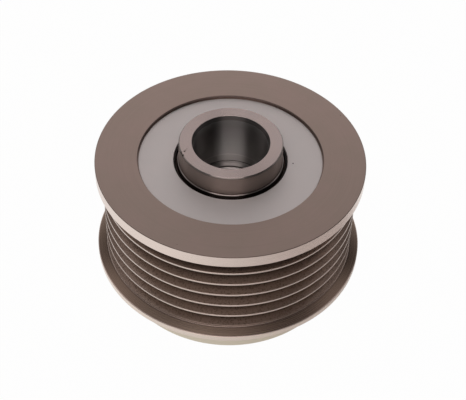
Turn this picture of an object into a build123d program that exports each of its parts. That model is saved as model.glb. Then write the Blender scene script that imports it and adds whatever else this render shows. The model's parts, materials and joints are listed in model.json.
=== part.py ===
from build123d import *
import os
from math import asin, cos, degrees, radians, sin, tan

# Overrunning alternator pulley: a grooved rim that runs on two ball bearings round a hub,
# with a one-way roller clutch between the bearings. All sizes are in millimetres. The spin
# axis is Z, z = 0 is the front face that the pulley stands on, and +Z points to the alternator.

# Belt track, for a poly-V belt with a 3.56 mm rib pitch
groove_count = 6
groove_pitch = 3.56
groove_angle = 40.0
groove_root_radius = 0.5
crest_land = 0.4

# Rim
rim_wall = 8.3
spigot_wall = 5.8
spigot_edge_chamfer = 0.1
front_flange_rise = 2.2
front_flange_thickness = 1.4
front_flange_bevel_height = 1.02
rear_flange_rise = 1.55
rear_flange_thickness = 2.9
rear_flange_bevel_height = 0.62
flange_edge_chamfer = 0.12
rim_mouth_step = 0.25
front_lip_depth = 1.2
front_lip_thickness = 0.8
front_lip_height = 4.2
cap_groove_depth = 0.7
cap_groove_width = 1.6
cap_groove_height = 1.5

# Hub
hub_radius = 12.5
hub_front_height = 3.6
hub_front_chamfer = 0.5
hub_shoulder_drop = 0.5
hub_shoulder_chamfer = 0.15
hub_lead_step = 0.4
hub_lead_height = 1.3
collar_step = 0.7
collar_projection = 4.5
collar_edge_chamfer = 0.25
collar_root_chamfer = 0.1
pilot_bore_wall = 4.0
pilot_bore_depth = 14.0
pilot_bore_lead_step = 0.38
pilot_bore_lead_height = 1.05
pilot_bore_step = 1.31
thread_entry_chamfer = 0.7
socket_tooth_count = 33
socket_wall = 3.4
socket_tooth_depth = 0.6
socket_depth = 9.0
socket_mouth_chamfer = 0.5

# Ball bearings
bearing_width = 9.0
bearing_section = 8.5
bearing_ball_count = 12
bearing_ball_ratio = 0.28
bearing_land_ratio = 0.69
bearing_groove_ratio = 1.04
bearing_ring_clearance = 0.1
bearing_edge_chamfer = 0.4
bearing_cage_clearance = 0.5
bearing_cage_web = 0.8
bearing_cage_open_height = 1.2
bearing_pocket_clearance = 0.12
seal_thickness = 0.8
seal_inset = 0.15
seal_seat_step = 0.9
seal_lip_clearance = 0.15

# One-way clutch
clutch_width = 9.0
clutch_race_wall = 3.0
clutch_roller_count = 9
clutch_roller_end_gap = 1.2
clutch_ramp_clearance = 0.02
clutch_wedge_angle = 7.8
clutch_free_angle = 2.5
cam_wall = 1.85
cam_corner_trim = 0.07
clutch_cage_bore_clearance = 0.15
clutch_cage_outer_clearance = 0.35
clutch_cage_end_gap = 0.3
clutch_pocket_end_gap = 0.1
clutch_pocket_lead_angle = 15.5
clutch_pocket_spring_angle = 14.0
clutch_spring_thickness = 0.15
clutch_spring_side_gap = 0.6
clutch_spring_height = 1.5
clutch_spring_bends = 4
clutch_spring_gap = 0.03
cam_key_count = 3
cam_key_width = 2.4
cam_key_depth = 0.7
cam_key_reach = 1.3
cam_key_root = 0.5
cam_key_clearance = 0.05

# Rear shield and its rubber lip
shield_recess = 0.75
shield_thickness = 0.8
shield_skirt_height = 2.55
shield_bend_radius = 0.1
shield_hole_gap = 0.53
lip_ring_width = 2.42
lip_ring_height = 1.1
lip_clearance = 0.15
lip_tip_thickness = 0.35

# Radii, worked out from the hub outwards
pilot_bore_radius = hub_radius - pilot_bore_wall
thread_minor_radius = pilot_bore_radius - pilot_bore_step
socket_root_radius = hub_radius - socket_wall
socket_tip_radius = socket_root_radius - socket_tooth_depth
hub_lead_radius = hub_radius - hub_lead_step
collar_radius = hub_radius - collar_step
shield_hole_radius = hub_radius + shield_hole_gap
lip_ring_outer_radius = shield_hole_radius + lip_ring_width
rim_bore_radius = hub_radius + bearing_section
front_lip_radius = rim_bore_radius - front_lip_depth
spigot_radius = rim_bore_radius + spigot_wall
crest_radius = rim_bore_radius + rim_wall
front_flange_radius = crest_radius + front_flange_rise
rear_flange_radius = crest_radius + rear_flange_rise

# Heights, worked out from the bearings and the clutch between the front lip and the shield
front_bearing_foot = front_lip_height + front_lip_thickness
clutch_foot = front_bearing_foot + bearing_width
clutch_middle = clutch_foot + clutch_width / 2
rear_bearing_foot = clutch_foot + clutch_width
shield_skirt_foot = rear_bearing_foot + bearing_width
shield_face_height = shield_skirt_foot + shield_skirt_height
rim_height = shield_face_height + shield_recess
hub_shoulder_height = rim_height - hub_shoulder_drop
hub_lead_foot = hub_shoulder_height - hub_lead_height
collar_height = rim_height + collar_projection
pilot_bore_floor = collar_height - pilot_bore_depth

# Heights of the belt track, downwards from the rear flange
belt_track_height = groove_count * groove_pitch
belt_track_top = rim_height - rear_flange_thickness - rear_flange_bevel_height
belt_track_foot = belt_track_top - belt_track_height
front_land_top = belt_track_foot - crest_land / 2 - front_flange_bevel_height
spigot_height = front_land_top - front_flange_thickness

# Balls, races and cage
bearing_ball_radius = bearing_section * bearing_ball_ratio
ball_groove_radius = bearing_ball_radius * bearing_groove_ratio
ball_circle_radius = hub_radius + bearing_section / 2
inner_race_radius = ball_circle_radius - bearing_ball_radius - bearing_ring_clearance
outer_race_radius = ball_circle_radius + bearing_ball_radius + bearing_ring_clearance
bearing_inner_land_radius = ball_circle_radius - bearing_ball_radius * bearing_land_ratio
bearing_outer_land_radius = ball_circle_radius + bearing_ball_radius * bearing_land_ratio
bearing_cage_bore_radius = bearing_inner_land_radius + bearing_cage_clearance
bearing_cage_outer_radius = bearing_outer_land_radius - bearing_cage_clearance
seal_seat_radius = bearing_outer_land_radius + seal_seat_step

# Clutch ramps and rollers: a roller jams between a flat and the race at the wedge angle
clutch_race_bore_radius = rim_bore_radius - clutch_race_wall
ramp_distance = hub_radius + cam_wall
wedge_share = cos(radians(clutch_wedge_angle))
clutch_roller_radius = (clutch_race_bore_radius * wedge_share - ramp_distance) / (1 + wedge_share)
clutch_roller_length = clutch_width - 2 * clutch_roller_end_gap
roller_rest_radius = (ramp_distance + clutch_roller_radius + clutch_ramp_clearance) / cos(
    radians(clutch_free_angle)
)
cam_corner_radius = ramp_distance / cos(radians(180 / clutch_roller_count)) - cam_corner_trim
cam_key_inner_radius = cam_corner_radius - cam_key_reach

# Clutch cage and springs
clutch_cage_bore_radius = cam_corner_radius + clutch_cage_bore_clearance
clutch_cage_outer_radius = clutch_race_bore_radius - clutch_cage_outer_clearance
clutch_cage_foot = clutch_foot + clutch_cage_end_gap
clutch_cage_height = clutch_width - 2 * clutch_cage_end_gap
clutch_pocket_length = clutch_roller_length + 2 * clutch_pocket_end_gap
clutch_spring_width = clutch_roller_length - 2 * clutch_spring_side_gap


def turned(*corners):
    """Solid turned about Z from the (radius, height) corners of half its section."""
    return revolve(Plane.XZ * make_face(Polyline(*corners, close=True)), Axis.Z)


def tube(inner_radius, outer_radius, foot, height):
    """Plain ring between two radii."""
    return turned(
        (inner_radius, foot),
        (outer_radius, foot),
        (outer_radius, foot + height),
        (inner_radius, foot + height),
    )


def around(shape, count, start_angle=0.0):
    """Copies of a shape, evenly spaced about Z."""
    step = 360 / count
    return [Rot(0, 0, start_angle + number * step) * shape for number in range(count)]


def polar(radius, angle):
    """Point at a radius and an angle in degrees."""
    return (radius * cos(radians(angle)), radius * sin(radians(angle)))


def groove_section():
    """One V of the belt track, with a rounded root, open past the crests."""
    half_mouth = (groove_pitch - crest_land) / 2
    slope = tan(radians(groove_angle / 2))
    depth_to_apex = half_mouth / slope
    overshoot = 1.0
    vee = make_face(
        Polyline(
            (crest_radius - depth_to_apex, 0),
            (crest_radius + overshoot, -half_mouth - overshoot * slope),
            (crest_radius + overshoot, half_mouth + overshoot * slope),
            close=True,
        )
    )
    apex = vee.vertices().sort_by(Axis.X)[0]
    return fillet(apex, groove_root_radius)


def pulley_rim():
    """Rim with the belt track, both flanges, the front spigot and the stepped bore."""
    rear_land_foot = rim_height - rear_flange_thickness
    cap_groove_top = cap_groove_height + cap_groove_width
    section = make_face(
        Polyline(
            (rim_bore_radius + spigot_edge_chamfer, 0),
            (spigot_radius - spigot_edge_chamfer, 0),
            (spigot_radius, spigot_edge_chamfer),
            (spigot_radius, spigot_height),
            (front_flange_radius - flange_edge_chamfer, spigot_height),
            (front_flange_radius, spigot_height + flange_edge_chamfer),
            (front_flange_radius, front_land_top),
            (crest_radius, belt_track_foot - crest_land / 2),
            (crest_radius, belt_track_top),
            (rear_flange_radius, rear_land_foot),
            (rear_flange_radius, rim_height - flange_edge_chamfer),
            (rear_flange_radius - flange_edge_chamfer, rim_height),
            (rim_bore_radius + rim_mouth_step, rim_height),
            (rim_bore_radius + rim_mouth_step, shield_face_height),
            (rim_bore_radius, shield_face_height),
            (rim_bore_radius, front_bearing_foot),
            (front_lip_radius, front_bearing_foot),
            (front_lip_radius, front_lip_height),
            (rim_bore_radius, front_lip_height),
            (rim_bore_radius, cap_groove_top),
            (rim_bore_radius + cap_groove_depth, cap_groove_top),
            (rim_bore_radius + cap_groove_depth, cap_groove_height),
            (rim_bore_radius, cap_groove_height),
            (rim_bore_radius, spigot_edge_chamfer),
            close=True,
        )
    )
    first_groove = belt_track_foot + groove_pitch / 2
    for number in range(groove_count):
        section -= Pos(0, first_groove + number * groove_pitch) * groove_section()
    return revolve(Plane.XZ * section, Axis.Z)


def tool_socket():
    """Serrated socket that the fitting tool grips, cut up into the hub's front end."""
    tooth_step = 360 / socket_tooth_count
    points = []
    for number in range(socket_tooth_count):
        points.append(polar(socket_root_radius, number * tooth_step))
        points.append(polar(socket_tip_radius, (number + 0.5) * tooth_step))
    teeth = extrude(make_face(Polyline(*points, close=True)), socket_depth)
    mouth = turned(
        (0, 0),
        (socket_root_radius + socket_mouth_chamfer, 0),
        (socket_tip_radius, socket_root_radius + socket_mouth_chamfer - socket_tip_radius),
        (0, socket_root_radius + socket_mouth_chamfer - socket_tip_radius),
    )
    return Pos(0, 0, hub_front_height) * (teeth + mouth)


def hub_shaft():
    """Hub sleeve: rear collar, lead for the bearings, pilot bore, thread bore and tool socket."""
    blank = turned(
        (thread_minor_radius, hub_front_height),
        (hub_radius - hub_front_chamfer, hub_front_height),
        (hub_radius, hub_front_height + hub_front_chamfer),
        (hub_radius, hub_lead_foot - hub_lead_step),
        (hub_lead_radius, hub_lead_foot),
        (hub_lead_radius, hub_shoulder_height - hub_shoulder_chamfer),
        (hub_lead_radius - hub_shoulder_chamfer, hub_shoulder_height),
        (collar_radius + collar_root_chamfer, hub_shoulder_height),
        (collar_radius, hub_shoulder_height + collar_root_chamfer),
        (collar_radius, collar_height - collar_edge_chamfer),
        (collar_radius - collar_edge_chamfer, collar_height),
        (pilot_bore_radius + pilot_bore_lead_step, collar_height),
        (pilot_bore_radius, collar_height - pilot_bore_lead_height),
        (pilot_bore_radius, pilot_bore_floor),
        (thread_minor_radius + thread_entry_chamfer, pilot_bore_floor),
        (thread_minor_radius, pilot_bore_floor - thread_entry_chamfer),
    )
    return blank - tool_socket()


def bearing_inner_ring(foot):
    """Inner ring with its ball groove, pressed on the hub."""
    middle = foot + bearing_width / 2
    ring = turned(
        (hub_radius, foot + bearing_edge_chamfer),
        (hub_radius + bearing_edge_chamfer, foot),
        (bearing_inner_land_radius, foot),
        (bearing_inner_land_radius, foot + bearing_width),
        (hub_radius + bearing_edge_chamfer, foot + bearing_width),
        (hub_radius, foot + bearing_width - bearing_edge_chamfer),
    )
    return ring - Pos(0, 0, middle) * Torus(inner_race_radius + ball_groove_radius, ball_groove_radius)


def bearing_outer_ring(foot):
    """Outer ring with its ball groove and a seal seat at each end."""
    middle = foot + bearing_width / 2
    seat_depth = seal_inset + seal_thickness
    ring = turned(
        (seal_seat_radius, foot),
        (rim_bore_radius - bearing_edge_chamfer, foot),
        (rim_bore_radius, foot + bearing_edge_chamfer),
        (rim_bore_radius, foot + bearing_width - bearing_edge_chamfer),
        (rim_bore_radius - bearing_edge_chamfer, foot + bearing_width),
        (seal_seat_radius, foot + bearing_width),
        (seal_seat_radius, foot + bearing_width - seat_depth),
        (bearing_outer_land_radius, foot + bearing_width - seat_depth),
        (bearing_outer_land_radius, foot + seat_depth),
        (seal_seat_radius, foot + seat_depth),
    )
    return ring - Pos(0, 0, middle) * Torus(outer_race_radius - ball_groove_radius, ball_groove_radius)


def bearing_balls(foot):
    """Ring of balls."""
    ball = Pos(ball_circle_radius, 0, foot + bearing_width / 2) * Sphere(bearing_ball_radius)
    return Compound(children=around(ball, bearing_ball_count))


def bearing_cage(foot, open_side):
    """Snap-in crown cage, open towards +Z or -Z as open_side is 1 or -1."""
    pocket_radius = bearing_ball_radius + bearing_pocket_clearance
    closed_height = pocket_radius + bearing_cage_web
    crown = tube(
        bearing_cage_bore_radius,
        bearing_cage_outer_radius,
        -closed_height,
        closed_height + bearing_cage_open_height,
    )
    pocket = Pos(ball_circle_radius, 0, 0) * Sphere(pocket_radius)
    for ball_space in around(pocket, bearing_ball_count):
        crown -= ball_space
    if open_side < 0:
        crown = mirror(crown, Plane.XY)
    return Pos(0, 0, foot + bearing_width / 2) * crown


def bearing_seal(face_height, outward):
    """Rubber seal disc in the outer ring, outward being 1 or -1 for the side that it faces."""
    outer_face = face_height - outward * seal_inset
    inner_face = outer_face - outward * seal_thickness
    low = min(outer_face, inner_face)
    return tube(bearing_inner_land_radius + seal_lip_clearance, seal_seat_radius, low, seal_thickness)


def clutch_outer_race():
    """Plain hardened race, pressed in the rim between the bearings."""
    return turned(
        (clutch_race_bore_radius, clutch_foot),
        (rim_bore_radius - bearing_edge_chamfer, clutch_foot),
        (rim_bore_radius, clutch_foot + bearing_edge_chamfer),
        (rim_bore_radius, clutch_foot + clutch_width - bearing_edge_chamfer),
        (rim_bore_radius - bearing_edge_chamfer, clutch_foot + clutch_width),
        (clutch_race_bore_radius, clutch_foot + clutch_width),
    )


def cam_keys(clearance):
    """Key blocks that stop the clutch cage from turning on the cam ring, grown by a clearance."""
    reach = clutch_cage_bore_radius + cam_key_root - cam_key_inner_radius
    key = Pos(cam_key_inner_radius + reach / 2, 0, clutch_cage_foot + cam_key_depth / 2) * Box(
        reach + 2 * clearance,
        cam_key_width + 2 * clearance,
        cam_key_depth + 2 * clearance,
    )
    first_corner = 180 / clutch_roller_count
    return around(key, cam_key_count, first_corner)


def clutch_cam_ring():
    """Cam ring pressed on the hub, with one flat ramp for each roller."""
    ring = tube(hub_radius, cam_corner_radius, clutch_foot, clutch_width)
    ramp_cut_depth = cam_corner_radius - ramp_distance
    ramp_cut = Pos(ramp_distance + ramp_cut_depth, 0, clutch_middle) * Box(
        2 * ramp_cut_depth,
        2 * cam_corner_radius,
        clutch_width,
    )
    for cut in around(ramp_cut, clutch_roller_count):
        ring -= cut
    for key_space in cam_keys(cam_key_clearance):
        ring -= key_space
    return ring


def clutch_rollers():
    """Rollers lying on the ramps, short of the place where they jam."""
    roller = Rot(0, 0, clutch_free_angle) * (
        Pos(roller_rest_radius, 0, clutch_middle) * Cylinder(clutch_roller_radius, clutch_roller_length)
    )
    return Compound(children=around(roller, clutch_roller_count))


def pocket_sector():
    """Space in the clutch cage for one roller and its spring."""
    reach = 2 * clutch_race_bore_radius
    sector = make_face(
        Polyline(
            (0, 0),
            polar(reach, -clutch_pocket_spring_angle),
            polar(reach, clutch_pocket_lead_angle),
            close=True,
        )
    )
    return Pos(0, 0, clutch_middle - clutch_pocket_length / 2) * extrude(sector, clutch_pocket_length)


def clutch_cage():
    """Moulded cage that spaces the rollers and backs their springs."""
    cage = tube(
        clutch_cage_bore_radius,
        clutch_cage_outer_radius,
        clutch_cage_foot,
        clutch_cage_height,
    )
    for pocket in around(pocket_sector(), clutch_roller_count):
        cage -= pocket
    for key in cam_keys(0):
        cage += key
    return cage


def clutch_springs():
    """Zigzag leaf springs, each between a cage bar and the back of its roller."""
    roller_half_angle = degrees(asin(clutch_roller_radius / roller_rest_radius))
    end_gap = clutch_spring_gap + clutch_spring_thickness / 2
    start = -radians(clutch_pocket_spring_angle) * roller_rest_radius + end_gap
    stop = radians(clutch_free_angle - roller_half_angle) * roller_rest_radius - end_gap
    step = (stop - start) / clutch_spring_bends
    half_height = clutch_spring_height / 2
    path = [
        (roller_rest_radius + half_height * (-1) ** bend, start + bend * step)
        for bend in range(clutch_spring_bends + 1)
    ]
    leaf = trace(Polyline(*path), clutch_spring_thickness)
    spring = Pos(0, 0, clutch_middle - clutch_spring_width / 2) * extrude(leaf, clutch_spring_width)
    return Compound(children=around(spring, clutch_roller_count))


def rear_shield():
    """Pressed steel shield with a skirt that seats in the rim's bore."""
    inner_face = shield_face_height - shield_thickness
    section = make_face(
        Polyline(
            (shield_hole_radius, inner_face),
            (rim_bore_radius - shield_thickness, inner_face),
            (rim_bore_radius - shield_thickness, shield_skirt_foot),
            (rim_bore_radius, shield_skirt_foot),
            (rim_bore_radius, shield_face_height),
            (shield_hole_radius, shield_face_height),
            close=True,
        )
    )
    outer_bend = section.vertices().sort_by(Axis.X)[-2:].sort_by(Axis.Y)[-1]
    section = fillet(outer_bend, shield_bend_radius)
    return revolve(Plane.XZ * section, Axis.Z)


def rear_seal_lip():
    """Rubber ring bonded under the shield, with a lip that reaches down to the hub."""
    top = shield_face_height - shield_thickness
    lip_radius = hub_radius + lip_clearance
    return turned(
        (lip_radius, top),
        (lip_radius, top - lip_ring_height),
        (lip_radius + lip_tip_thickness, top - lip_ring_height),
        (lip_ring_outer_radius, top - lip_tip_thickness),
        (lip_ring_outer_radius, top),
    )


nodes = {
    "pulley_rim": pulley_rim(),
    "hub_shaft": hub_shaft(),
    "rear_shield": rear_shield(),
    "rear_seal_lip": rear_seal_lip(),
    "clutch_outer_race": clutch_outer_race(),
    "clutch_cam_ring": clutch_cam_ring(),
    "clutch_rollers": clutch_rollers(),
    "clutch_cage": clutch_cage(),
    "clutch_springs": clutch_springs(),
}
bearings = {"front": (front_bearing_foot, -1), "rear": (rear_bearing_foot, 1)}
for end, (foot, outward) in bearings.items():
    outer_end = foot + bearing_width * (outward + 1) / 2
    nodes[end + "_bearing_inner_ring"] = bearing_inner_ring(foot)
    nodes[end + "_bearing_outer_ring"] = bearing_outer_ring(foot)
    nodes[end + "_bearing_balls"] = bearing_balls(foot)
    nodes[end + "_bearing_cage"] = bearing_cage(foot, outward)
    nodes[end + "_bearing_seal"] = bearing_seal(outer_end, outward)

os.makedirs("parts", exist_ok=True)
for name, shape in nodes.items():
    export_step(shape, os.path.join("parts", name + ".step"))
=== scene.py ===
import json
from math import acos, atan2, ceil, cos, pi, radians, sin, tan

import bmesh
import bpy
from mathutils import Matrix, Vector


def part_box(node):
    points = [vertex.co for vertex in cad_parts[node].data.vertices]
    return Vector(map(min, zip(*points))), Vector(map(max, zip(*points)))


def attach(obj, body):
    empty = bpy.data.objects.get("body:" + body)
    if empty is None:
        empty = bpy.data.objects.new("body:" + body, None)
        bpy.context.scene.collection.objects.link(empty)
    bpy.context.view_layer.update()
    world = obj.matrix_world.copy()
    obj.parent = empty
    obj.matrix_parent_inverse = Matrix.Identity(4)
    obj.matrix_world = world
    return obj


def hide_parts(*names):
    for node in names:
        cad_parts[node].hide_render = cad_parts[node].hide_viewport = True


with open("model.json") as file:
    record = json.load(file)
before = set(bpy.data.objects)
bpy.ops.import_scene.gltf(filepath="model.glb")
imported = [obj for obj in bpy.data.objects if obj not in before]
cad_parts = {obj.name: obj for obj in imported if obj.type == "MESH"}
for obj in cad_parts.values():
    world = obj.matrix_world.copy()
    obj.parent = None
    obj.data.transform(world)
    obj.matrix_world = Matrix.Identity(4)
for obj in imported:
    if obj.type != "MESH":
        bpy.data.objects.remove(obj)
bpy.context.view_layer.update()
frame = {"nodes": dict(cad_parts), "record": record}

MM = 0.001

# Sizes read from the frame
RIM_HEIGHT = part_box("pulley_rim")[1].z
FRONT_FLANGE_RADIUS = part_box("pulley_rim")[1].x
RIM_BORE_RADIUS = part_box("rear_shield")[1].x
SHIELD_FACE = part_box("rear_shield")[1].z
SHIELD_SKIRT_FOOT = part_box("rear_shield")[0].z
HUB_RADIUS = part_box("hub_shaft")[1].x
HUB_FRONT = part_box("hub_shaft")[0].z
COLLAR_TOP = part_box("hub_shaft")[1].z
LIP_RING_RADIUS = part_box("rear_seal_lip")[1].x
LIP_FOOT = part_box("rear_seal_lip")[0].z
INNER_LAND_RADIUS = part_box("front_bearing_inner_ring")[1].x
SEAL_SEAT_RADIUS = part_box("front_bearing_seal")[1].x
CLUTCH_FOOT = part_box("clutch_outer_race")[0].z
CLUTCH_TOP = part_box("clutch_outer_race")[1].z
ROLLER_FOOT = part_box("clutch_rollers")[0].z
ROLLER_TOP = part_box("clutch_rollers")[1].z

# Belt track
GROOVE_COUNT = 6
GROOVE_PITCH = 3.56 * MM
GROOVE_HALF_ANGLE = radians(20)
GROOVE_ROOT_RADIUS = 0.5 * MM
GROOVE_BOTTOM = 25.9 * MM
CREST_RADIUS = 29.3 * MM
CREST_LAND = 0.4 * MM
CREST_EDGE = 0.08 * MM
BELT_TRACK_FOOT = 10.42 * MM
BELT_TRACK_TOP = BELT_TRACK_FOOT + GROOVE_COUNT * GROOVE_PITCH
FRONT_BEVEL_TOP = BELT_TRACK_FOOT - CREST_LAND / 2

# Rim
SPIGOT_RADIUS = 26.8 * MM
SPIGOT_HEIGHT = 7.8 * MM
SPIGOT_EDGE = 0.1 * MM
FRONT_FLANGE_TOP = 9.2 * MM
REAR_FLANGE_RADIUS = 30.85 * MM
REAR_FLANGE_THICKNESS = 2.9 * MM
FLANGE_EDGE = 0.12 * MM
MOUTH_RADIUS = RIM_BORE_RADIUS + 0.25 * MM
FRONT_LIP_RADIUS = 19.8 * MM
FRONT_LIP_FOOT = 4.2 * MM
FRONT_LIP_TOP = 5.0 * MM
CAP_GROOVE_FOOT = 1.5 * MM
CAP_GROOVE_TOP = 3.1 * MM
CAP_GROOVE_DEPTH = 0.7 * MM
TOOL_EDGE = 0.06 * MM

# Hub
HUB_FRONT_CHAMFER = 0.5 * MM
SHOULDER_HEIGHT = RIM_HEIGHT - 0.5 * MM
SHOULDER_CHAMFER = 0.15 * MM
LEAD_RADIUS = HUB_RADIUS - 0.4 * MM
LEAD_FOOT = SHOULDER_HEIGHT - 1.3 * MM
COLLAR_RADIUS = 11.8 * MM
COLLAR_EDGE = 0.25 * MM
COLLAR_ROOT = 0.1 * MM
NICK_HEIGHT = COLLAR_TOP - 0.1 * MM
PILOT_BORE_RADIUS = 8.5 * MM
PILOT_BORE_FLOOR = COLLAR_TOP - 14.0 * MM
PALE_BORE_RING_FOOT = COLLAR_TOP - 11.9 * MM
PALE_BORE_RING_TOP = COLLAR_TOP - 11.65 * MM
BORE_LEAD_STEP = 0.38 * MM
BORE_LEAD_HEIGHT = 1.05 * MM
THREAD_MINOR_RADIUS = 7.19 * MM
THREAD_DEPTH = 0.8 * MM
THREAD_PITCH = 1.5 * MM
THREAD_ENTRY_CHAMFER = 0.7 * MM
THREAD_TOP = PILOT_BORE_FLOOR - THREAD_ENTRY_CHAMFER
THREAD_POINTS_A_TURN = 8
THREAD_FLANK_SLOPE = 2.4
THREAD_FLAT = 0.1
SOCKET_TEETH = 33
STEPS_A_TOOTH = 8
SOCKET_ROOT_RADIUS = 9.1 * MM
SOCKET_TIP_RADIUS = 8.5 * MM
ROOT_TO_TIP = SOCKET_TIP_RADIUS - SOCKET_ROOT_RADIUS
SOCKET_FLOOR = HUB_FRONT + 9.0 * MM
SOCKET_MOUTH_CHAMFER = 0.5 * MM

# Shield and lip
SHIELD_THICKNESS = 0.8 * MM
SHIELD_BEND = 0.1 * MM
SHIELD_HOLE_RADIUS = 13.03 * MM
SHIELD_HOLE_EDGE = 0.12 * MM
LIP_CLEARANCE = 0.15 * MM
LIP_TIP_THICKNESS = 0.35 * MM

# Bearings and clutch
BEARING_WIDTH = 9.0 * MM
BEARING_CHAMFER = 0.4 * MM
BALL_COUNT = 12
BALL_RADIUS = 2.38 * MM
BALL_CIRCLE_RADIUS = (HUB_RADIUS + RIM_BORE_RADIUS) / 2
RACE_GROOVE_RADIUS = BALL_RADIUS * 1.04
RACE_CLEARANCE = 0.1 * MM
OUTER_LAND_RADIUS = 2 * BALL_CIRCLE_RADIUS - INNER_LAND_RADIUS
SEAL_THICKNESS = 0.8 * MM
SEAL_INSET = 0.15 * MM
SEAL_LIP_CLEARANCE = 0.15 * MM
SEAL_WEB_INSET = 0.2 * MM
SEAL_BEAD_WIDTH = 0.55 * MM
SEAL_BEAD_FOOT_WIDTH = 0.8 * MM
SEAL_BEAD_EDGE = 0.15 * MM
SEAL_EDGE = 0.1 * MM
SEAL_LIP_BEVEL_HEIGHT = 0.3 * MM
SEAL_LIP_BEVEL_WIDTH = 0.25 * MM
SEAL_LIP_WIDTH = 0.75 * MM
SEAL_LIP_FOOT_WIDTH = 1.0 * MM
CLUTCH_RACE_BORE_RADIUS = 18.0 * MM
ROLLER_COUNT = 9
ROLLER_RADIUS = 1.75 * MM
ROLLER_EDGE = 0.2 * MM
ROLLER_START_ANGLE = radians(2.5)
ROLLER_CIRCLE_RADIUS = (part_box("clutch_rollers")[1].x - ROLLER_RADIUS) / cos(ROLLER_START_ANGLE)

# Fineness of the meshes
ARC_STEP = radians(15)
GUARD_LENGTH = 0.1 * MM
GUARD_ROOM = 2.2
SHARP_ANGLE = radians(32)
MERGE_DISTANCE = 0.0005 * MM
STEPS_ROUND = 192
FINE_STEPS_ROUND = 256
ROLLER_STEPS_ROUND = 32
RACE_GROOVE_STEPS = 10
BALL_SUBDIVISIONS = 4

# Colours of the rim, in linear light
RIM_FACE = (0.47, 0.383, 0.345)
RIM_FACE_SHADE = (0.449, 0.376, 0.332)
# Painted shade in the grooves, deepest at their roots
GROOVE_ROOT_PAINTED_SHADE = (0.10, 0.072, 0.06)
GROOVE_FLANK = (0.34, 0.268, 0.224)
GROOVE_SPECKS = (0.05, 0.035, 0.03)
# Painted shade on the bevel, deepest at its root
BEVEL_INNER_PAINTED_SHADE = (0.265, 0.204, 0.161)
BEVEL_OUTER = (0.34, 0.264, 0.213)
BEVEL_ROOT_PAINTED_SHADE = (0.20, 0.152, 0.125)
# Painted reflection on the lands and crests, brightest on the front land, and painted shade on the
# first crest
REAR_LAND_PAINTED_REFLECTION = (0.775, 0.655, 0.59)
CRESTS_PAINTED_REFLECTION = (0.63, 0.535, 0.48)
FIRST_CREST_PAINTED_SHADE = (0.36, 0.28, 0.24)
FRONT_LAND_PAINTED_REFLECTION = (0.81, 0.70, 0.615)
# Painted reflection low on the spigot, painted shade up under the front flange
SPIGOT_LOW_PAINTED_REFLECTION = (0.72, 0.65, 0.53)
SPIGOT_HIGH_PAINTED_SHADE = (0.33, 0.265, 0.21)
# Painted shade on the wall of the mouth
MOUTH_WALL_PAINTED_SHADE = (0.205, 0.165, 0.15)
# Painted shade on the rear flange's rounded top edge, in place of its glint
RIM_TOP_EDGE_PAINTED_SHADE = (0.20, 0.155, 0.135)
RIM_PITS = (0.08, 0.06, 0.05)

# Colours of the hub, in linear light
# The hub's sides are painted darker than its ground end face, as painted shade
HUB_SIDE = (0.27, 0.217, 0.193)
HUB_SIDE_SHADE = (0.26, 0.211, 0.188)
HUB_END = (0.63, 0.56, 0.535)
HUB_END_SHADE = (0.61, 0.55, 0.535)
# Painted shade and highlight at the edges of the collar and shoulder
COLLAR_CHAMFER_PAINTED_SHADE = (0.24, 0.217, 0.203)
COLLAR_LINE_PAINTED_SHADE = (0.17, 0.14, 0.125)
COLLAR_FOOT_PAINTED_SHADOW = (0.12, 0.095, 0.085)
SHOULDER_CHAMFER_PAINTED_HIGHLIGHT = (0.40, 0.37, 0.355)
SHOULDER_SIDE_PAINTED_SHADE = (0.05, 0.04, 0.035)
# Painted light and shade down the bore
BORE_HIGH = (0.26, 0.255, 0.25)
BORE_LOW_PAINTED_LIGHT = (0.50, 0.49, 0.48)
BORE_LEAD_PAINTED_SHADE = (0.12, 0.112, 0.108)
PALE_BORE_RING_TONE = (0.62, 0.605, 0.59)
BORE_FOOT_PAINTED_LIGHT = (0.50, 0.49, 0.475)
FLOOR_CORNER_PAINTED_SHADE = (0.05, 0.045, 0.04)
BORE_FLOOR_PAINTED_LIGHT = (0.35, 0.335, 0.325)
THREAD_ENTRY_PAINTED_SHADE = (0.04, 0.035, 0.03)
THREAD_PAINTED_HIGHLIGHT = (0.90, 0.86, 0.84)
HUB_NICKS = (0.05, 0.04, 0.035)

# Half of the width over which one tone passes to the next
BLUR = 0.05 * MM
NARROW_BLUR = 0.02 * MM

# Pitch of the tool lines, and relief of each finish
RIM_LINE_PITCH = 0.12 * MM
HUB_LINE_PITCH = 0.09 * MM
RACE_LINE_PITCH = 0.05 * MM
RIM_LINE_DEPTH = 0.0006 * MM
HUB_LINE_DEPTH = 0.0005 * MM
RACE_LINE_DEPTH = 0.0004 * MM
SHEET_GRAIN_DEPTH = 0.0008 * MM
RUBBER_GRAIN_DEPTH = 0.004 * MM
FIBRE_DEPTH = 0.003 * MM

# Stage, with light levels where 1 is white
FLOOR_REACH = 3.0
FLOOR_PAPER = (0.85, 0.85, 0.85, 1)
FLOOR_WHITE = 0.98
DARK_CORNER_LEVEL = 0.16
WHITE = (1, 1, 1, 1)
CEILING_COLOUR = (1, 0.88, 0.86, 1)
CEILING_MIDDLE_LEVEL = 0.15
CEILING_SIDE_LEVEL = 0.03
CEILING_FALL_TO_RIGHT = -0.09
SKY_BEHIND_LEVEL = 0.62
PANEL_LEVEL = 2.4
PANEL_TURN = -0.158
PANEL_SPREAD = 0.82
PANEL_FOOT = 0.6
PANEL_TOP = 0.92
SIDE_GLOW_LEVEL = 0.48
LAMP_PLACE = (-0.15, 0.1, 0.7)
LAMP_SIZE = 0.4
LAMP_WATTS = 0.2

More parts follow.
